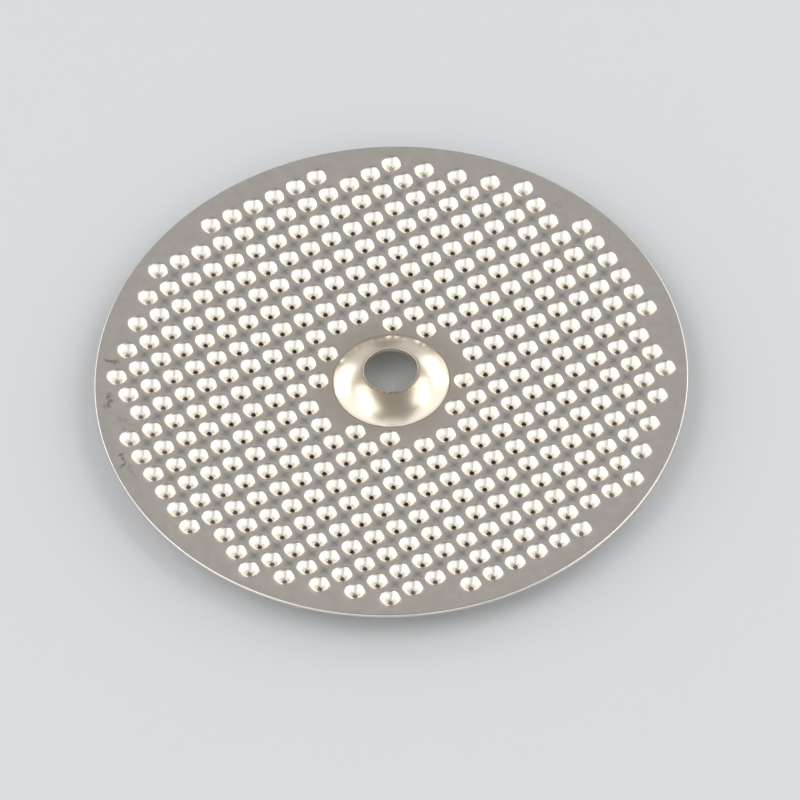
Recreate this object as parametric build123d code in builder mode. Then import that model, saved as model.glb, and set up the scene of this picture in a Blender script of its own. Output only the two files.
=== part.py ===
# Brew group filter: one disc of thin stainless sheet, pressed to a shallow dish.
# A rounded boss with a screw hole stands in the middle. Round it lies a square pattern of
# pierced dimples, each a small funnel with a pinhole at its bottom.
# Millimetres. +Z points up out of the dish, the way the boss stands. The origin is on the
# disc's axis, at the level of the innermost dimple tips, which the disc rests on.

import math
import os

from build123d import *

# Disc
disc_diameter = 38.0
thickness = 0.3
rim_rise = 1.05  # how far the dish lifts the rim above its middle

# Dimples
pitch = 1.6  # from one dimple to the next, along and across the rows
flat = 0.76  # side of the plain square left between four dimples
dimple_depth = 0.6  # from the sheet's upper face down to the pinhole
pinhole = 0.28  # side of the pinhole, as open as a round one of 0.32
rim_land = 0.52  # plain sheet left inside the rim, at least
boss_land = 0.02  # plain sheet left round the boss, at least

# Boss
boss_diameter = 7.34
boss_height = 1.15  # from the sheet's upper face up to the hole's edge
crown_bulge = 0.15  # how far the boss's side bows out
skirt_height = 0.06  # soft step where the boss leaves the sheet
skirt_width = 0.12
recess_diameter = 7.0  # where the screw's recess meets the sheet's lower face
bore_diameter = 3.45
bore_wall = 0.22  # height of the hole's straight wall
lip = 0.08  # bevel that takes the sharpness off the hole's upper edge

# Sizes that follow from those above
disc_radius = disc_diameter / 2
boss_radius = boss_diameter / 2
recess_radius = recess_diameter / 2
bore_radius = bore_diameter / 2
half_pitch = pitch / 2
half_ridge = half_pitch - flat / math.sqrt(2)
mouth_reach = math.hypot(half_pitch, half_ridge)
half_pinhole = pinhole / 2
rows = math.ceil(disc_radius / pitch) + 2
overrun = 0.2  # how far a cut or a foot runs past the sheet's face


def dish(x, y):
    """How far the dish lifts the point of the sheet at x, y."""
    return rim_rise * (x * x + y * y) / disc_radius**2


def centre(cell):
    """Middle of a cell of the square pattern. The disc's axis is at a corner of four cells."""
    column, row = cell
    return (column + 0.5) * pitch, (row + 0.5) * pitch


def is_dimpled(cell):
    """A cell has a dimple where the whole mouth stays on the plain ring of sheet."""
    distance = math.hypot(*centre(cell))
    clears_boss = distance - mouth_reach > boss_radius + skirt_width + boss_land
    clears_rim = distance + mouth_reach < disc_radius - rim_land
    return clears_boss and clears_rim


square_block = [(column, row) for column in range(-rows, rows) for row in range(-rows, rows)]
cells = {cell for cell in square_block if math.hypot(*centre(cell)) < disc_radius + pitch}
dimpled = {cell for cell in cells if is_dimpled(cell)}

corner_lifts = [
    dish(abs(centre(cell)[0]) - half_pinhole, abs(centre(cell)[1]) - half_pinhole)
    for cell in dimpled
]
lower_level = dimple_depth - thickness - min(corner_lifts)
upper_level = lower_level + thickness
tip_level = upper_level - dimple_depth


def pressed(points, middle, level):
    """Place flat points round a middle, then lift each one as the dish does.

    Points that lie on one circle of the flat sheet stay in one plane.
    """
    placed = [(middle[0] + x, middle[1] + y) for x, y in points]
    return [Vector(x, y, level + dish(x, y)) for x, y in placed]


def polygon(points):
    return Face(Wire.make_polygon(points))


# The mouth has eight sides: the four that face a neighbour end in a shared ridge
mouth = [
    (half_pitch, -half_ridge),
    (half_pitch, half_ridge),
    (half_ridge, half_pitch),
    (-half_ridge, half_pitch),
    (-half_pitch, half_ridge),
    (-half_pitch, -half_ridge),
    (-half_ridge, -half_pitch),
    (half_ridge, -half_pitch),
]
pinhole_corners = [
    (half_pinhole, -half_pinhole),
    (half_pinhole, half_pinhole),
    (-half_pinhole, half_pinhole),
    (-half_pinhole, -half_pinhole),
]
plain_square = [
    (half_pitch - half_ridge, 0),
    (0, half_pitch - half_ridge),
    (half_ridge - half_pitch, 0),
    (0, half_ridge - half_pitch),
]
# Steps to the cells that each side of a mouth looks at, in the order of its sides
side_steps = [(1, 0), (1, 1), (0, 1), (-1, 1), (-1, 0), (-1, -1), (0, -1), (1, -1)]


def funnel(cell, level):
    """The eight facets from a mouth at this level down to the pinhole."""
    rim = pressed(mouth, centre(cell), level)
    hole = pressed(pinhole_corners, centre(cell), tip_level)
    facets = []
    for quarter in range(4):
        start, end, following = 2 * quarter, 2 * quarter + 1, (2 * quarter + 2) % 8
        next_corner = hole[(quarter + 1) % 4]
        facets.append(polygon([rim[start], rim[end], next_corner, hole[quarter]]))
        facets.append(polygon([rim[end], rim[following], next_corner]))
    return facets


def outer_walls(cell):
    """Walls on the sides of a cell where the block of cells ends."""
    upper = pressed(mouth, centre(cell), upper_level)
    lower = pressed(mouth, centre(cell), lower_level)
    walls = []
    for side, (across, along) in enumerate(side_steps):
        column, row = cell
        around = {(column + across, row), (column, row + along), (column + across, row + along)}
        if not around <= cells:
            end = (side + 1) % 8
            walls.append(polygon([upper[side], upper[end], lower[end], lower[side]]))
    return walls


def plain_squares():
    """The flat squares between four cells, on both faces of the sheet."""
    squares = []
    for column, row in sorted(cells):
        if {(column - 1, row), (column, row - 1), (column - 1, row - 1)} <= cells:
            corner = (column * pitch, row * pitch)
            for level in (upper_level, lower_level):
                squares.append(polygon(pressed(plain_square, corner, level)))
    return squares


def pierced_sheet():
    """The pressed sheet before its rim is cut round, with every dimple and pinhole."""
    faces = plain_squares()
    for cell in sorted(cells):
        faces += outer_walls(cell)
        for level in (upper_level, lower_level):
            if cell in dimpled:
                faces += funnel(cell, level)
            else:
                faces.append(polygon(pressed(mouth, centre(cell), level)))
    return Solid(Shell(faces))


foot_level = upper_level + dish(boss_radius, 0)
boss_top = foot_level + boss_height
bore_high = boss_top - lip
bore_low = bore_high - bore_wall
recess_level = lower_level + dish(recess_radius, 0)
recess_slope = (recess_radius - bore_radius) / (bore_low - recess_level)

with BuildPart() as filter_disc:
    add(pierced_sheet())
    # The rim is cut round
    with BuildSketch():
        Circle(disc_radius)
    extrude(amount=disc_diameter, both=True, mode=Mode.INTERSECT)
    # Boss, solid at first, with its foot sunk into the sheet
    with BuildSketch(Plane.XZ):
        with BuildLine():
            crown = SagittaArc(
                (bore_radius, boss_top), (boss_radius, foot_level + skirt_height), crown_bulge
            )
            Polyline(
                crown @ 1,
                (boss_radius + 2 * skirt_width, foot_level - skirt_height),
                (boss_radius, foot_level - thickness / 2),
                (0, foot_level - thickness / 2),
                (0, boss_top),
                crown @ 0,
            )
        make_face()
    revolve(axis=Axis.Z)
    # Recess for the screw's head from below, and the screw's hole above it
    with BuildSketch(Plane.XZ):
        with BuildLine():
            Polyline(
                (0, recess_level - overrun),
                (recess_radius + overrun * recess_slope, recess_level - overrun),
                (bore_radius, bore_low),
                (bore_radius, bore_high),
                (bore_radius + lip + overrun, boss_top + overrun),
                (0, boss_top + overrun),
                close=True,
            )
        make_face()
    revolve(axis=Axis.Z, mode=Mode.SUBTRACT)

filter_disc.part.label = "filter_disc"

os.makedirs("parts", exist_ok=True)
export_step(filter_disc.part, "parts/filter_disc.step")

print("dimples:", len(dimpled))
print("hole's wall from", round(bore_low, 3), "to", round(bore_high, 3))
print("disc rests at", round(filter_disc.part.bounding_box().min.Z, 4))
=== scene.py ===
# %% [markdown]
# # A brew group filter in pressed stainless sheet
# The filter is one disc of thin sheet. It is pressed to a shallow dish, with a round boss for
# its screw in the middle and a square pattern of pierced dimples round it. This script gives
# it its looks: a mesh with round dimples, a satin steel finish with the marks of use, a pale
# floor, soft light and a camera that looks down on it.

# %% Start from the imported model
import math

import bmesh
import bpy
from mathutils import Matrix, Vector


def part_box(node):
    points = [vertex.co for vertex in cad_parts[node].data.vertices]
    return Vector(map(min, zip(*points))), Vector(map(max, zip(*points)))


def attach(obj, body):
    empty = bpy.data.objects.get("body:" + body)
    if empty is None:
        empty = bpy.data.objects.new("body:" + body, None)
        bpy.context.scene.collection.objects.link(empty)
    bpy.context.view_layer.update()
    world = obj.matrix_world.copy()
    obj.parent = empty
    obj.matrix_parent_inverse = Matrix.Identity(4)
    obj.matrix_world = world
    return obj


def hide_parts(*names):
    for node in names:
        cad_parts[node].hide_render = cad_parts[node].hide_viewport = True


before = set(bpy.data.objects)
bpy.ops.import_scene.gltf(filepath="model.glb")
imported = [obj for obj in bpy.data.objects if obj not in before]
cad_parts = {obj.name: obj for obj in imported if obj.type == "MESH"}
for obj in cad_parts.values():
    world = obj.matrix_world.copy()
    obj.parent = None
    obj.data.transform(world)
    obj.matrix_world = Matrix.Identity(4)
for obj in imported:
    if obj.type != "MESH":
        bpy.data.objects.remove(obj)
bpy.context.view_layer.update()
print("solids of the packed model:", sorted(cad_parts))

# %% [markdown]
# ## Sizes
# Sheet this thin is hard to model in metres: the usual distance at which Blender's tools merge
# points is then a tenth of a millimetre, which is more than the finest steps of a dimple. So
# the disc is modelled in millimetres, one unit each, and brought down to metres at the end.

# %% Sizes of the disc, in millimetres
MILLIMETRE = 0.001
disc_radius = 19.0
thickness = 0.3
rim_rise = 1.05  # how far the dish lifts the rim above its middle
edge_rounding = 0.1

pitch = 1.6
mouth_radius = 0.78
pinhole_radius = 0.13
dimple_depth = 0.6  # from the sheet's upper face down to the pinhole's lower edge
cell_sides = 16

boss_radius = 3.67
boss_height = 1.15  # from the sheet's upper face up to the hole's edge
bore_radius = 1.725
recess_radius = 3.5  # where the screw's recess meets the sheet's lower face

merge_distance = 0.002  # points closer together than this become one
near = 0.01  # a point this close to a place is at that place

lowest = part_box("filter_disc")[0].z / MILLIMETRE
print("the disc rests at", round(lowest, 4), "mm")


def dish(radius):
    """How far the dish lifts the sheet at this distance from the middle."""
    return rim_rise * (radius / disc_radius) ** 2


# %% [markdown]
# ## Selecting by place
# In the viewport a modeller clicks on the faces and edges to work on. A script picks them by
# a test on where they are, and everything else is deselected first, because each operator
# acts on all that is selected.

# %% Helpers that select
def only(*objects):
    """Selects these objects and nothing else. The first one becomes the active one."""
    bpy.ops.object.select_all(action="DESELECT")
    for obj in objects:
        obj.select_set(True)
    bpy.context.view_layer.objects.active = objects[0]


def edit(obj, kind="EDGE"):
    """Opens the object in edit mode, with nothing selected in it."""
    only(obj)
    bpy.ops.object.mode_set(mode="EDIT")
    bpy.ops.mesh.select_mode(type=kind)
    bpy.ops.mesh.select_all(action="DESELECT")


def pick(obj, kind, test):
    """In edit mode, selects only the verts, edges or faces that pass the test."""
    bpy.ops.mesh.select_all(action="DESELECT")
    mesh = bmesh.from_edit_mesh(obj.data)
    picked = [element for element in getattr(mesh, kind) if test(element)]
    for element in picked:
        element.select_set(True)
    bmesh.update_edit_mesh(obj.data)
    return len(picked)


def done():
    """Leaves edit mode."""
    bpy.ops.object.mode_set(mode="OBJECT")


# %% [markdown]
# ## Drawing a ring out along a profile
# The dimple, the boss and the rim are all round. Each starts as a ring of edges, which is
# extruded again and again: a little up or down, then scaled to the next radius. Where the
# press leaves a soft corner, the stations of the profile lie on an arc.

# %% Helpers for profiles
def arc(centre_radius, centre_height, bend, start, end, steps):
    """Stations on an arc: each a radius and a height. Angles are in degrees from outwards."""
    angles = [math.radians(start + (end - start) * step / steps) for step in range(steps + 1)]
    return [
        (centre_radius + bend * math.cos(angle), centre_height + bend * math.sin(angle))
        for angle in angles
    ]


def draw_out(start, stations):
    """Extrudes the selected ring of edges from its start through the stations."""
    radius, height = start
    for next_radius, next_height in stations:
        rise = (0, 0, next_height - height)
        bpy.ops.mesh.extrude_edges_move(TRANSFORM_OT_translate={"value": rise})
        share = next_radius / radius
        bpy.ops.transform.resize(value=(share, share, 1), center_override=(0, 0, 0))
        radius, height = next_radius, next_height


# %% [markdown]
# ## One dimple
# On the real sheet a pointed punch pushes each dimple down and breaks through at its bottom,
# so the mouth has a wide, soft shoulder that runs into a short cone, and the pinhole has a
# thin edge. The shoulder matters most, because it mirrors the lamps as two rounded lights.
# One dimple is modelled with the square of sheet that belongs to it, upper and lower face
# together, and all others are copies. Sixteen sides are enough for a thing this small,
# because smooth shading rounds it off.

# %% The dimple's profile
shoulder_slope = 8.0  # degrees below level where the shoulder starts
shoulder_bend = 0.28  # radius of its arc
shoulder_radius = 0.69  # where the arc starts, from the dimple's middle
shoulder_drop = 0.03  # and how far below the sheet's upper face
shoulder_steps = 4
cone_slope = 46.5
lip_flare = 0.05  # the pinhole's radius grows by this at its lower edge
# Where the bump below leaves the lower face: inwards from the mouth, and down from the face
bump_foot = [(0.15, 0.05), (0.05, 0.02), (0, 0)]

bend_radius = shoulder_radius - shoulder_bend * math.cos(math.radians(90 + shoulder_slope))
bend_height = -shoulder_drop - shoulder_bend * math.sin(math.radians(90 + shoulder_slope))
shoulder = arc(
    bend_radius, bend_height, shoulder_bend, 90 + shoulder_slope, 90 + cone_slope, shoulder_steps
)
cone_run = shoulder[-1][0] - pinhole_radius
pinhole_height = shoulder[-1][1] - cone_run * math.tan(math.radians(cone_slope))
upper_profile = shoulder + [(pinhole_radius, pinhole_height)]
print("the pinhole's edge lies at", round(pinhole_height, 3), "mm")
lower_profile = [(pinhole_radius + lip_flare, -dimple_depth)]
lower_profile += [(mouth_radius - inwards, -thickness - down) for inwards, down in bump_foot]

# %% Model the dimple and its square of sheet
bpy.ops.mesh.primitive_circle_add(vertices=cell_sides, radius=mouth_radius)
dimple = bpy.context.object
dimple.name = "dimple"
edit(dimple)
bpy.ops.mesh.primitive_circle_add(
    vertices=4, radius=pitch / math.sqrt(2), rotation=(0, 0, math.radians(45))
)
bpy.ops.mesh.subdivide(number_cuts=cell_sides // 4 - 1)
bpy.ops.mesh.select_all(action="SELECT")
bpy.ops.mesh.bridge_edge_loops()
bpy.ops.mesh.select_all(action="SELECT")
bpy.ops.mesh.duplicate_move(TRANSFORM_OT_translate={"value": (0, 0, -thickness)})


def is_mouth(edge):
    """An edge of the round mouth in the upper face."""
    return all(
        vert.co.z > -near and vert.co.xy.length < mouth_radius + near for vert in edge.verts
    )


pick(dimple, "edges", is_mouth)
draw_out((mouth_radius, 0.0), upper_profile + lower_profile)
bpy.ops.mesh.select_all(action="SELECT")
bpy.ops.mesh.remove_doubles(threshold=merge_distance)

# %% Make the mouth a little square, because the four neighbours pull on it
pull_from = 0.45  # the cone nearer the pinhole stays round
corner_pull = 1.05
side_pull = 0.93
turn_tolerance = 5  # degrees
bpy.ops.mesh.select_mode(type="VERT")


def pull_mouth(turn, share):
    """Moves the shoulder in or out at the four points that are this many degrees round."""

    def is_there(vert):
        angle = math.degrees(math.atan2(vert.co.y, vert.co.x)) - turn
        degrees_off = abs((angle + 45) % 90 - 45)
        return (
            degrees_off < turn_tolerance
            and pull_from < vert.co.xy.length < mouth_radius - 2 * near
            and vert.co.z > -thickness / 2
        )

    pick(dimple, "verts", is_there)
    bpy.ops.transform.resize(value=(share, share, 1), center_override=(0, 0, 0))


pull_mouth(45, corner_pull)
pull_mouth(0, side_pull)
done()
print("faces in one dimple:", len(dimple.data.polygons))

# %% [markdown]
# ## The pattern
# The disc's middle is at a corner between four cells. A cell gets a dimple where there is
# room between the boss and the plain ring inside the rim. The other cells stay plain, and
# their squares are divided like a dimple's border, so that all of them can be merged.

# %% A plain square of sheet
bpy.ops.mesh.primitive_grid_add(
    x_subdivisions=cell_sides // 4, y_subdivisions=cell_sides // 4, size=pitch
)
plain = bpy.context.object
plain.name = "plain_cell"
edit(plain)
bpy.ops.mesh.primitive_grid_add(
    x_subdivisions=cell_sides // 4,
    y_subdivisions=cell_sides // 4,
    size=pitch,
    location=(0, 0, -thickness),
)
done()

# %% Copy the cells over the sheet
inner_limit = 4.6  # a dimple's middle is farther out than this
outer_limit = 17.6  # and farther in than this
rows = math.ceil(disc_radius / pitch) + 1
copies = []
dimpled_cells = set()
for row in range(-rows, rows):
    for column in range(-rows, rows):
        place = Vector(((column + 0.5) * pitch, (row + 0.5) * pitch, 0))
        if place.length > disc_radius + pitch:
            continue
        source = plain
        if inner_limit < place.length < outer_limit:
            source = dimple
            dimpled_cells.add((column, row))
        copy = source.copy()
        copy.data = source.data.copy()
        copy.location = place
        bpy.context.collection.objects.link(copy)
        copies.append(copy)
print("dimples:", len(dimpled_cells), "of", len(copies), "cells")

# %% Join them into one sheet
only(*copies)
bpy.ops.object.join()
disc = bpy.context.object
disc.name = "pressed_disc"
bpy.ops.object.transform_apply(location=True)
edit(disc, "VERT")
bpy.ops.mesh.select_all(action="SELECT")
bpy.ops.mesh.remove_doubles(threshold=merge_distance)
bpy.data.objects.remove(dimple)
bpy.data.objects.remove(plain)

# %% [markdown]
# ## The ridges
# Where two mouths almost meet, the punch has drawn the ridge between them down a little, most
# of all at its middle. That is done after the cells are merged, so that a ridge moves as one.

# %% Draw down the ridges between the dimples
# Each step: a reach, how many dimples at least have their middle within it, and the drop
ridge_steps = [(0.9, 1, 0.010), (0.9, 2, 0.008), (0.83, 1, 0.012), (0.83, 2, 0.004)]
border_width = 0.05  # a point this near a cell's border is tested for both cells


def cells_at(place):
    """The columns, or the rows, that a place along X, or along Y, belongs to."""
    return {math.floor((place + step) / pitch) for step in (-border_width, border_width)}


def dimples_near(point, reach):
    """How many dimples have their middle within reach of a point. Inside a mouth it is none."""
    found = 0
    for column in cells_at(point.x):
        for row in cells_at(point.y):
            middle = Vector(((column + 0.5) * pitch, (row + 0.5) * pitch))
            distance = (point.xy - middle).length
            if distance < mouth_radius - 2 * near:
                return 0
            found += (column, row) in dimpled_cells and distance < reach
    return found


for reach, least, drop in ridge_steps:
    picked = pick(
        disc,
        "verts",
        lambda vert: vert.co.z > -thickness / 2 and dimples_near(vert.co, reach) >= least,
    )
    bpy.ops.transform.translate(value=(0, 0, -drop))
    print("lowered", picked, "points by", drop)

# %% [markdown]
# ## The dish
# The whole sheet is pressed to a shallow bowl. Proportional editing does this in one move:
# the middle goes down and takes the sheet round it along. With the falloff named inverse
# square the section is a parabola, which in so shallow a bowl is curved almost evenly.

# %% Press the dish
pick(disc, "verts", lambda vert: vert.co.xy.length < near)
bpy.ops.transform.translate(
    value=(0, 0, -rim_rise),
    use_proportional_edit=True,
    proportional_edit_falloff="INVERSE_SQUARE",
    proportional_size=disc_radius,
)
bpy.ops.mesh.select_all(action="SELECT")
bpy.ops.transform.translate(value=(0, 0, rim_rise))
print("the rim rises by", rim_rise, "mm")

# %% [markdown]
# ## Cutting the sheet round
# The square cells beyond the rim and under the boss go, and a round ring of edges is set
# where the true edge starts. The gap between the ring and the steps of the squares is then
# filled, on the upper face and on the lower one.

# %% Clear the rim and the middle
boss_blend = 0.12
rim_ring = disc_radius - edge_rounding
boss_ring = boss_radius + boss_blend
least_gap = 0.06


def reaches(face, test):
    """Whether a corner of the face is at a distance from the middle that passes the test."""
    return any(test(vert.co.xy.length) for vert in face.verts)


bpy.ops.mesh.select_mode(type="FACE")
pick(disc, "faces", lambda face: reaches(face, lambda radius: radius > rim_ring - least_gap))
bpy.ops.mesh.delete(type="FACE")
pick(disc, "faces", lambda face: reaches(face, lambda radius: radius < boss_ring + least_gap))
bpy.ops.mesh.delete(type="FACE")
print("faces left between the boss and the rim:", len(bmesh.from_edit_mesh(disc.data).faces))

# %% Fill up to round rings
rim_steps = 240
boss_steps = 96
recess_blend = 0.08
recess_ring = recess_radius + recess_blend


def is_free_edge(edge, level, test):
    """An edge with at most one face, on one face of the sheet, in the part that is tested."""
    radii = [vert.co.xy.length for vert in edge.verts]
    heights = [vert.co.z - dish(vert.co.xy.length) for vert in edge.verts]
    on_level = all(abs(height - level) < thickness / 2 for height in heights)
    return on_level and len(edge.link_faces) < 2 and all(test(radius) for radius in radii)


def fill_to_ring(radius, steps, level, test):
    """Adds a ring of edges and fills the sheet up to it."""
    bpy.ops.mesh.primitive_circle_add(
        vertices=steps, radius=radius, location=(0, 0, dish(radius) + level)
    )
    pick(disc, "edges", lambda edge: is_free_edge(edge, level, test))
    bpy.ops.mesh.fill(use_beauty=True)


bpy.ops.mesh.select_mode(type="EDGE")
middle = (boss_ring + disc_radius) / 2
for level in (0.0, -thickness):
    fill_to_ring(rim_ring, rim_steps, level, lambda radius: radius > middle)
fill_to_ring(boss_ring, boss_steps, 0.0, lambda radius: radius < middle)
fill_to_ring(recess_ring, boss_steps, -thickness, lambda radius: radius < middle)
print("faces with the rings filled in:", len(bmesh.from_edit_mesh(disc.data).faces))

# %% [markdown]
# ## The rim
# Blanking leaves a slightly rounded upper edge, which catches the light as a thin bright line
# all round the disc.

# %% Round the rim's edge
def pick_ring(radius, height):
    """Selects the open ring of edges at this radius and height."""
    return pick(
        disc,
        "edges",
        lambda edge: len(edge.link_faces) < 2
        and all(
            abs(vert.co.xy.length - radius) < near and abs(vert.co.z - height) < near
            for vert in edge.verts
        ),
    )


upper_steps = 4
under_steps = 3
rim_height = dish(rim_ring)
under_height = rim_height - thickness
rounding = arc(rim_ring, rim_height - edge_rounding, edge_rounding, 90, 0, upper_steps)
under_edge = arc(rim_ring, under_height + edge_rounding, edge_rounding, 0, -90, under_steps)
print("edges round the rim:", pick_ring(rim_ring, rim_height))
draw_out((rim_ring, rim_height), rounding[1:] + under_edge)

# %% [markdown]
# ## The boss
# The punch that makes the boss stretches the sheet over a rounded former, so its side bows
# out a little, its foot flows into the sheet, and the edge of its hole is blunt. Below it the
# sheet leaves a cone, which the screw's head fills.

# %% Draw the boss up and its recess back down
foot_height = dish(boss_ring)
foot_width = 0.07
skirt_height = 0.06
boss_top = dish(boss_radius) + boss_height
lip = 0.04
lip_steps = 3
bore_wall = 0.3
bore_low = boss_top - bore_wall
bore_bevel = 0.03
crown_bulge = 0.15
crown_steps = 12
# Where the recess turns into the lower face: outwards from its radius, and up from the face
recess_foot = [(-0.05, 0.06), (0.02, 0.015)]

crown_foot = Vector((boss_radius, dish(boss_radius) + skirt_height))
crown_head = Vector((bore_radius + lip, boss_top))
chord = crown_head - crown_foot
outwards = Vector((-chord.y, chord.x)).normalized() * -1


def crown_station(share):
    """A point of the boss's bowed side, from its foot at 0 to the hole's edge at 1."""
    bow = crown_bulge * (1 - (2 * share - 1) ** 2)
    return tuple(crown_foot + chord * share + outwards * bow)


crown = [crown_station(step / crown_steps) for step in range(crown_steps + 1)]
foot = [(boss_ring - foot_width, foot_height)]
blunt_edge = arc(bore_radius + lip, boss_top - lip, lip, 90, 180, lip_steps)
recess = [(bore_radius, bore_low), (bore_radius + bore_bevel, bore_low - bore_bevel)]
lower_face = dish(recess_radius) - thickness
recess += [(recess_radius + out, lower_face + above) for out, above in recess_foot]
recess.append((recess_ring, dish(recess_ring) - thickness))
print("edges round the boss:", pick_ring(boss_ring, foot_height))
draw_out((boss_ring, foot_height), foot + crown + blunt_edge[1:] + recess)

# %% Close the sheet and bring it down to metres
bpy.ops.mesh.select_all(action="SELECT")
bpy.ops.mesh.remove_doubles(threshold=merge_distance)
bpy.ops.mesh.normals_make_consistent(inside=False)
mesh = bmesh.from_edit_mesh(disc.data)
open_edges = [edge for edge in mesh.edges if len(edge.link_faces) != 2]
print("edges that don't have two faces:", len(open_edges))
lift = lowest - min(vert.co.z for vert in mesh.verts)
bpy.ops.mesh.select_all(action="SELECT")
bpy.ops.transform.translate(value=(0, 0, lift))
bpy.ops.transform.resize(value=(MILLIMETRE,) * 3, center_override=(0, 0, 0))
done()
only(disc)
sharp_angle = math.radians(40)
bpy.ops.object.shade_smooth_by_angle(angle=sharp_angle)

# %% [markdown]
# ## Numbers on the points
# The finish differs from place to place: on the upper face, inside a dimple, and on the plain
# spot between four dimples. Inside a dimple the colour is painted light, and on the plain spot
# it is painted shade. For each of these, every point of the mesh stores a 0 or a 1. The
# material reads it and blends it along the faces, so the finish follows the shape.

# %% Store the dimples' drawn metal and painted light, and the painted shade between four dimples
drawn_and_lit_radius = 0.6
corner_reach = 0.05
least_upward = 0.2  # the upward part of the normal on the upper face, at least
drawn_and_lit = disc.data.attributes.new("drawn_metal_and_painted_light", "FLOAT", "POINT")
shade_spots = disc.data.attributes.new("painted_spot_shade", "FLOAT", "POINT")
upper = disc.data.attributes.new("upper_face", "FLOAT", "POINT")
for index, vert in enumerate(disc.data.vertices):
    if vert.normal.z < least_upward:
        continue
    upper.data[index].value = 1.0
    x, y = vert.co.x / MILLIMETRE, vert.co.y / MILLIMETRE
    column, row = math.floor(x / pitch), math.floor(y / pitch)
    from_middle = math.hypot(x - (column + 0.5) * pitch, y - (row + 0.5) * pitch)
    if (column, row) in dimpled_cells and from_middle < drawn_and_lit_radius:
        drawn_and_lit.data[index].value = 1.0
    column, row = round(x / pitch), round(y / pitch)
    around = {(column, row), (column - 1, row), (column, row - 1), (column - 1, row - 1)}
    at_corner = math.hypot(x - column * pitch, y - row * pitch) < corner_reach
    if at_corner and around <= dimpled_cells:
        shade_spots.data[index].value = 1.0
triangles = sum(len(face.vertices) - 2 for face in disc.data.polygons)
print("triangles in the disc:", triangles, "lifted by", round(lift, 4))

# %% [markdown]
# ## Writing a material
# A material is a tree of nodes, and its maths can be long. A small class stands for a number
# that varies over a surface, so that Python's own plus, minus and times add the Math nodes.

# %% Shader maths as Python expressions
class Value:
    """A number that varies over a surface. Sums and products on it add Math nodes."""

    def __init__(self, finish, socket):
        self.finish = finish
        self.socket = socket

    def math(self, operation, *others):
        """Adds a Math node that works on this number and the others."""
        values = dict(enumerate(others, start=1))
        node = self.finish.node("ShaderNodeMath", {"operation": operation}, {0: self, **values})
        return Value(self.finish, node.outputs[0])

    def __add__(self, other):
        return self.math("ADD", other)

    __radd__ = __add__

    def __mul__(self, other):
        return self.math("MULTIPLY", other)

    __rmul__ = __mul__

    def __sub__(self, other):
        return self.math("SUBTRACT", other)

    def __rsub__(self, other):
        return self.finish.value(other).math("SUBTRACT", self)

    def clamp(self):
        """Keeps the number between 0 and 1."""
        return self.math("MAXIMUM", 0.0).math("MINIMUM", 1.0)

    def stretch(self, gain, shift):
        """Spreads a noise, which stays near a half, over more of the way from 0 to 1."""
        return self * gain + shift


class Finish:
    """A material and the nodes in it."""

    def __init__(self, name):
        self.material = bpy.data.materials.new(name)
        self.material.use_nodes = True
        self.tree = self.material.node_tree
        self.tree.nodes.clear()

    def node(self, kind, settings=None, inputs=None):
        """Adds a node. Settings come first, then the values or links of its sockets."""
        node = self.tree.nodes.new(kind)
        for name, setting in (settings or {}).items():
            setattr(node, name, setting)
        for name, given in (inputs or {}).items():
            self.feed(node.inputs[name], given)
        return node

    def feed(self, socket, given):
        """Links a value or a socket to this socket, or sets a plain number on it."""
        if isinstance(given, Value):
            self.tree.links.new(given.socket, socket)
        elif isinstance(given, bpy.types.NodeSocket):
            self.tree.links.new(given, socket)
        else:
            socket.default_value = given

    def value(self, number):
        """A plain number as a node, for a difference that starts with one."""
        node = self.node("ShaderNodeValue")
        node.outputs[0].default_value = number
        return Value(self, node.outputs[0])

    def noise(self, place, scale, detail):
        """Soft random patches. The scale is about how many there are to a unit."""
        node = self.node(
            "ShaderNodeTexNoise", inputs={"Vector": place, "Scale": scale, "Detail": detail}
        )
        return Value(self, node.outputs[0])

    def length(self, vector):
        """How long a vector is: for a flat place, its distance from the middle."""
        node = self.node("ShaderNodeVectorMath", {"operation": "LENGTH"}, {0: vector})
        return Value(self, node.outputs["Value"])

    def split(self, vector):
        """The X and Y of a vector, each as a number."""
        node = self.node("ShaderNodeSeparateXYZ", inputs={0: vector})
        return Value(self, node.outputs[0]), Value(self, node.outputs[1])

    def attribute(self, name):
        """A number that was stored on the mesh's points."""
        node = self.node("ShaderNodeAttribute", {"attribute_name": name})
        return Value(self, node.outputs["Fac"])

    def mix(self, share, first, second):
        """Goes from the first colour to the second as the share goes from 0 to 1.

        The node keeps its two colours in sockets 6 and 7 and gives the result in socket 2.
        """
        node = self.node("ShaderNodeMix", {"data_type": "RGBA"}, {0: share})
        self.feed(node.inputs[6], first)
        self.feed(node.inputs[7], second)
        return node.outputs[2]


# %% [markdown]
# ## Marks of use
# A filter that has been in use has a few short marks on its plain edge, where residue has
# dried: most are dark, some faint, and one is reddish. Where its screw goes in, it has tiny
# scuffs. A mark could be painted on an image, but a short line is simple enough to work out:
# its strength falls with the distance from a segment.

# %% Where the marks lie, in millimetres on the upper face
# Each mark: one end, the other end and half its width
dark_marks = [
    ((-15.22, 10.28), (-14.98, 10.0), 0.20),
    ((-14.98, 10.0), (-14.58, 9.9), 0.24),
    ((-16.36, 7.76), (-16.46, 7.29), 0.22),
    ((-16.46, 7.29), (-16.86, 6.93), 0.26),
    ((-17.89, 3.06), (-17.99, 2.67), 0.20),
    ((-18.43, 2.16), (-18.01, 2.38), 0.16),
]
faint_marks = [
    ((-16.49, 5.61), (-16.28, 5.11), 0.35),
    ((-16.78, 4.8), (-16.66, 4.69), 0.2),
    ((-17.91, 2.07), (-17.94, 1.3), 0.2),
]
red_marks = [((16.18, 6.38), (16.46, 6.39), 0.26)]
print("marks:", len(dark_marks + faint_marks + red_marks))


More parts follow.
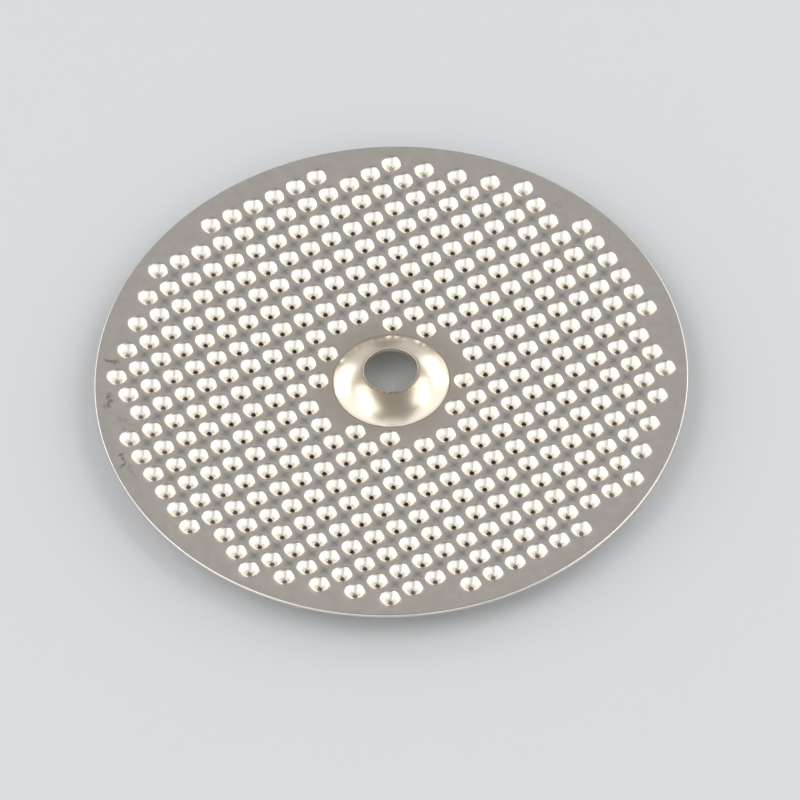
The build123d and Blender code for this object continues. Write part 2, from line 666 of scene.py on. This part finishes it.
# %% Helpers that draw marks and rings
def stroke(x, y, mark):
    """1 along a short line on the sheet, falling to 0 at the mark's half width."""
    (start_x, start_y), (end_x, end_y), half_width = mark
    run, climb = end_x - start_x, end_y - start_y
    squared = run * run + climb * climb
    share = ((x - start_x) * (run / squared) + (y - start_y) * (climb / squared)).clamp()
    across = x - start_x - share * run
    along = y - start_y - share * climb
    distance = (across * across + along * along).math("SQRT")
    return 1 - distance * (1 / half_width)


def strokes(x, y, marks):
    """All the marks of one kind together."""
    total = stroke(x, y, marks[0])
    for mark in marks[1:]:
        total = total.math("MAXIMUM", stroke(x, y, mark))
    return total


def ring(radius, middle, half_width):
    """1 on a ring round the disc's middle, falling to 0 at its half width."""
    return 1 - (radius - middle).math("ABSOLUTE") * (1 / half_width)


# %% [markdown]
# ## Satin steel
# The real disc is rolled sheet, tumbled after pressing: soft, a little warm, with a faint
# mottle and very fine scratches. In the dimples, where the punch has drawn the metal, it is a
# little rougher and is painted brightest, as painted light; the plain spots between them are
# painted dullest, as painted shade. The boss is warmer, its near face by the hole is painted a
# darker tan as painted shade, and a line of painted shade lies in the crease at its foot. One
# metallic shader does it all. Each step below works out where a colour goes, as a number from
# 0 to 1, and mixes it in.

# %% Colours of the steel
sheet_dull = (0.70, 0.65, 0.59, 1)
sheet_clear = (0.78, 0.73, 0.67, 1)
boss_warm = (0.82, 0.74, 0.62, 1)
round_boss_tan = (0.62, 0.54, 0.43, 1)
# The next four colours are painted light and shade: painted shade on the boss's near face,
# painted shade in the crease at its foot, painted shade on the plain spots between four dimples,
# and painted light inside the dimples.
near_face_shade_tan = (0.74, 0.63, 0.48, 1)
crease_shade_brown = (0.42, 0.36, 0.29, 1)
spot_painted_shade = (0.42, 0.40, 0.37, 1)
painted_dimple_light = (0.97, 0.93, 0.84, 1)
mark_dark = (0.20, 0.19, 0.15, 1)
mark_faint = (0.30, 0.28, 0.24, 1)
mark_red = (0.50, 0.36, 0.32, 1)
scuff_brown = (0.25, 0.22, 0.18, 1)

# %% Where the tints lie, in millimetres from the middle, and how strong they are
tint_radius = 5.4  # the tan on the sheet round the boss grows inwards from here
tint_fade = 0.8
tint_strength = 0.5
near_face_shade_radius = 2.9  # the painted shade on the boss's near face grows inwards from about here
near_face_shade_fade = 1.2
near_face_shade_side = 0.5
near_face_shade_start = 0.6
near_face_shade_strength = 0.8
crease_shade_radius = 3.76  # the painted shade in the crease at the boss's foot
crease_shade_half_width = 0.07
scuff_radius = 1.86  # the scuffs beside the hole
scuff_half_width = 0.14
scuff_start = 1.3
scuff_strength = 0.7
boss_edge_fade = 12
near_side_x = -0.35  # with the next value, how far a place lies on the near side
near_side_y = -0.7


# %% The sheet and the boss
def sheet_and_boss(finish, mottle, radius, near_side):
    """The colour before marks: mottled sheet, warm boss, painted shade on its near face and
    foot.
    """
    colour = finish.mix(mottle.stretch(1.6, -0.3).clamp(), sheet_dull, sheet_clear)
    on_boss = ((boss_radius - radius) * boss_edge_fade).clamp()
    colour = finish.mix(on_boss, colour, boss_warm)
    round_boss = ((tint_radius - radius) * tint_fade).clamp() * (1 - on_boss)
    colour = finish.mix(round_boss * tint_strength, colour, round_boss_tan)
    # Painted shade: the boss's near face by its hole turns a darker tan
    near_face_shade = (near_face_shade_radius - radius) * near_face_shade_fade + near_side * near_face_shade_side - near_face_shade_start
    colour = finish.mix(near_face_shade.clamp() * near_face_shade_strength, colour, near_face_shade_tan)
    # Painted shade in the crease at the boss's foot, broken up by the mottle
    crease_shade = ring(radius, crease_shade_radius, crease_shade_half_width).clamp()
    return finish.mix(crease_shade * mottle.stretch(2.4, -0.7).clamp(), colour, crease_shade_brown)


# %% The marks, broken up by noise
break_scale = 4.0
speckle_scale = 7.0
mark_start = 0.1
dark_gain = 1.2
dark_strength = 0.8
faint_strength = 0.5


def marks_of_use(finish, flat, radius, near_side, upper_face):
    """Each kind of mark as a number from 0 to 1: dark, faint, reddish and scuffed."""
    x, y = finish.split(flat)
    broken = finish.noise(flat, break_scale, 3.0).stretch(5, -2.5)
    dark = strokes(x, y, dark_marks) * dark_gain + broken - mark_start
    dark = dark.clamp() * dark_strength
    faint = (strokes(x, y, faint_marks) + broken - mark_start).clamp() * faint_strength
    reddish = (strokes(x, y, red_marks) + broken - mark_start).clamp() * faint_strength
    speckle = finish.noise(flat, speckle_scale, 1.0).stretch(7, -3.2).clamp()
    hole_edge = ring(radius, scuff_radius, scuff_half_width)
    scuffs = (hole_edge + near_side - scuff_start).clamp() * speckle * scuff_strength
    return [mask * upper_face for mask in (dark, faint, reddish, scuffs)]


# %% The whole finish
mottle_scale = 1.3
grain_scale = 14.0
scratch_turn = 0.6
scratch_scale = (0.5, 9, 1)
smoothest = 0.17
rougher_mottle = 0.06
rougher_grain = 0.04
rougher_scratches = 0.04
rougher_drawn = 0.02
rougher_marks = 0.3
grain_strength = 0.15
grain_depth = 0.00002


def satin_steel():
    """Builds the disc's material."""
    finish = Finish("satin_stainless_steel")
    place = finish.node("ShaderNodeTexCoord").outputs["Object"]
    millimetres = finish.node(
        "ShaderNodeVectorMath", {"operation": "SCALE"}, {0: place, "Scale": 1 / MILLIMETRE}
    ).outputs[0]
    flat = finish.node(
        "ShaderNodeVectorMath", {"operation": "MULTIPLY"}, {0: millimetres, 1: (1, 1, 0)}
    ).outputs[0]
    x, y = finish.split(flat)
    near_side = x * near_side_x + y * near_side_y
    radius = finish.length(flat)
    mottle = finish.noise(millimetres, mottle_scale, 4.0)
    grain = finish.noise(millimetres, grain_scale, 3.0)
    drawn_metal_and_painted_light = finish.attribute("drawn_metal_and_painted_light")

    colour = sheet_and_boss(finish, mottle, radius, near_side)
    # Painted shade on the plain spots between four dimples
    colour = finish.mix(finish.attribute("painted_spot_shade"), colour, spot_painted_shade)
    # Painted light inside the dimples
    colour = finish.mix(drawn_metal_and_painted_light, colour, painted_dimple_light)
    upper_face = finish.attribute("upper_face")
    dark, faint, reddish, scuffs = marks_of_use(finish, flat, radius, near_side, upper_face)
    colour = finish.mix(dark, colour, mark_dark)
    colour = finish.mix(faint, colour, mark_faint)
    colour = finish.mix(reddish, colour, mark_red)
    colour = finish.mix(scuffs, colour, scuff_brown)

    scratched = finish.node(
        "ShaderNodeMapping",
        inputs={"Vector": flat, "Rotation": (0, 0, scratch_turn), "Scale": scratch_scale},
    ).outputs[0]
    scratches = finish.noise(scratched, 1.0, 2.0)
    roughness = smoothest + mottle * rougher_mottle + grain * rougher_grain
    roughness = roughness + scratches * rougher_scratches + drawn_metal_and_painted_light * rougher_drawn
    roughness = roughness + (dark + faint) * rougher_marks
    bump = finish.node(
        "ShaderNodeBump",
        inputs={"Strength": grain_strength, "Distance": grain_depth, "Height": grain},
    )
    shader = finish.node(
        "ShaderNodeBsdfPrincipled",
        inputs={
            "Base Color": colour,
            "Metallic": 1.0,
            "Roughness": roughness,
            "Normal": bump.outputs[0],
        },
    )
    finish.node("ShaderNodeOutputMaterial", inputs={"Surface": shader.outputs[0]})
    return finish.material


# %% Give the disc its finish and its place in the frame
disc.data.materials.clear()
disc.data.materials.append(satin_steel())
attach(disc, "root")
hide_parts("filter_disc")
print("nodes in the finish:", len(disc.data.materials[0].node_tree.nodes))

# %% [markdown]
# ## The floor
# A plain pale floor keeps the eye on the disc and takes its soft shadow. It lies a little
# below the dimples' tips. Hardly any light gets in between, so the pinholes show dark.

# %% The floor
floor_size = 1.6
floor_height = -0.0002
floor_grey = (0.70, 0.72, 0.74, 1)
floor_roughness = 0.6
bpy.ops.object.select_all(action="DESELECT")
bpy.ops.mesh.primitive_plane_add(size=floor_size, location=(0, 0, floor_height))
floor = bpy.context.object
floor.name = "floor"
paint = Finish("pale_floor")
floor_shader = paint.node(
    "ShaderNodeBsdfPrincipled",
    inputs={"Base Color": floor_grey, "Roughness": floor_roughness},
)
paint.node("ShaderNodeOutputMaterial", inputs={"Surface": floor_shader.outputs[0]})
floor.data.materials.append(paint.material)
print("the floor lies", -floor_height / MILLIMETRE, "mm below the tips")

# %% [markdown]
# ## The camera
# It looks down on the disc from the front left with a long lens, so the disc shows as a nearly
# true ellipse. The camera is set by where it stands round the disc, how high, and its tilt.

# %% The camera
camera_azimuth = math.radians(-28.0)
camera_elevation = math.radians(52.5)
camera_roll = math.radians(-2.57)
camera_distance = 0.270
look_at = Vector((-0.00030, -0.00164, 0.00054))

back = Vector(
    (
        math.sin(camera_azimuth) * math.cos(camera_elevation),
        -math.cos(camera_azimuth) * math.cos(camera_elevation),
        math.sin(camera_elevation),
    )
)
level_right = Vector((math.cos(camera_azimuth), math.sin(camera_azimuth), 0))
level_up = back.cross(level_right)
right = level_right * math.cos(camera_roll) + level_up * math.sin(camera_roll)
up = back.cross(right)
bpy.ops.object.camera_add()
camera = bpy.context.object
camera.name = "camera"
standpoint = look_at + back * camera_distance
axes = Matrix((right, up, back)).transposed()
camera.matrix_world = Matrix.Translation(standpoint) @ axes.to_4x4()
camera.data.lens = 190.0
camera.data.sensor_width = 36.0
camera.data.clip_start = 0.01
bpy.context.scene.camera = camera
print("the camera stands at", [round(part, 4) for part in standpoint])

# %% [markdown]
# ## The lamps
# Polished dimples show the lamps more than they show the metal, so the lamps are placed by
# what each part of a dimple mirrors. Two softboxes high at the sides give the two rounded
# lights on the far wall of every dimple and on the front of the boss. Two wide bands below
# them light the cones, the low side lamps and rear fills light the left and right walls, and
# a weak band in front fills the thin gap between the two lights. A weak panel behind, with
# the room's own grey, gives the flat sheet its tone. All stand equally far from the disc.

# %% A soft lamp that looks at the disc
lamp_distance = 0.5
front = Vector((back.x, back.y, 0)).normalized()


def lamp_side(degrees_wide):
    """The size of a lamp's side that looks this wide from the disc."""
    return 2 * lamp_distance * math.tan(math.radians(degrees_wide / 2))


def softbox(name, azimuth, elevation, width, height, radiance):
    """Adds a flat lamp. Angles are in degrees, and its azimuth goes round from the camera."""
    turn = math.radians(azimuth)
    rise = math.radians(elevation)
    ground = front * math.cos(turn) + level_right * math.sin(turn)
    where = (ground * math.cos(rise) + Vector((0, 0, math.sin(rise)))) * lamp_distance
    bpy.ops.object.light_add(type="AREA", location=where)
    lamp = bpy.context.object
    lamp.name = name
    lamp.data.shape = "RECTANGLE"
    lamp.data.size = lamp_side(width)
    lamp.data.size_y = lamp_side(height)
    lamp.data.energy = radiance * math.pi * lamp.data.size * lamp.data.size_y
    facing = where.to_track_quat("Z", "Y").to_matrix().to_4x4()
    lamp.matrix_world = Matrix.Translation(where) @ facing


# %% Place the lamps
softbox("softbox_left", azimuth=-82, elevation=57, width=46, height=22, radiance=1.65)
softbox("softbox_right", azimuth=99, elevation=54, width=40, height=22, radiance=1.65)
softbox("side_lamp_left", azimuth=-127, elevation=16, width=34, height=32, radiance=1.2)
softbox("side_lamp_right", azimuth=134, elevation=18, width=34, height=32, radiance=1.2)
softbox("side_band_left", azimuth=-64, elevation=26, width=98, height=42, radiance=0.95)
softbox("side_band_right", azimuth=66, elevation=26, width=112, height=42, radiance=0.95)
softbox("rear_fill_left", azimuth=-140, elevation=20, width=60, height=40, radiance=0.35)
softbox("rear_fill_right", azimuth=145, elevation=20, width=60, height=40, radiance=0.35)
softbox("front_band", azimuth=-2, elevation=28, width=30, height=40, radiance=0.55)
softbox("back_panel", azimuth=180, elevation=56, width=90, height=40, radiance=0.14)

# %% The room's own light
room_grey = (0.32, 0.32, 0.32, 1)
world = bpy.data.worlds.new("studio")
bpy.context.scene.world = world
world.use_nodes = True
world.node_tree.nodes["Background"].inputs["Color"].default_value = room_grey
world.node_tree.nodes["Background"].inputs["Strength"].default_value = 1.0
bpy.context.scene.view_settings.view_transform = "Standard"
print("the room's grey:", room_grey[0])
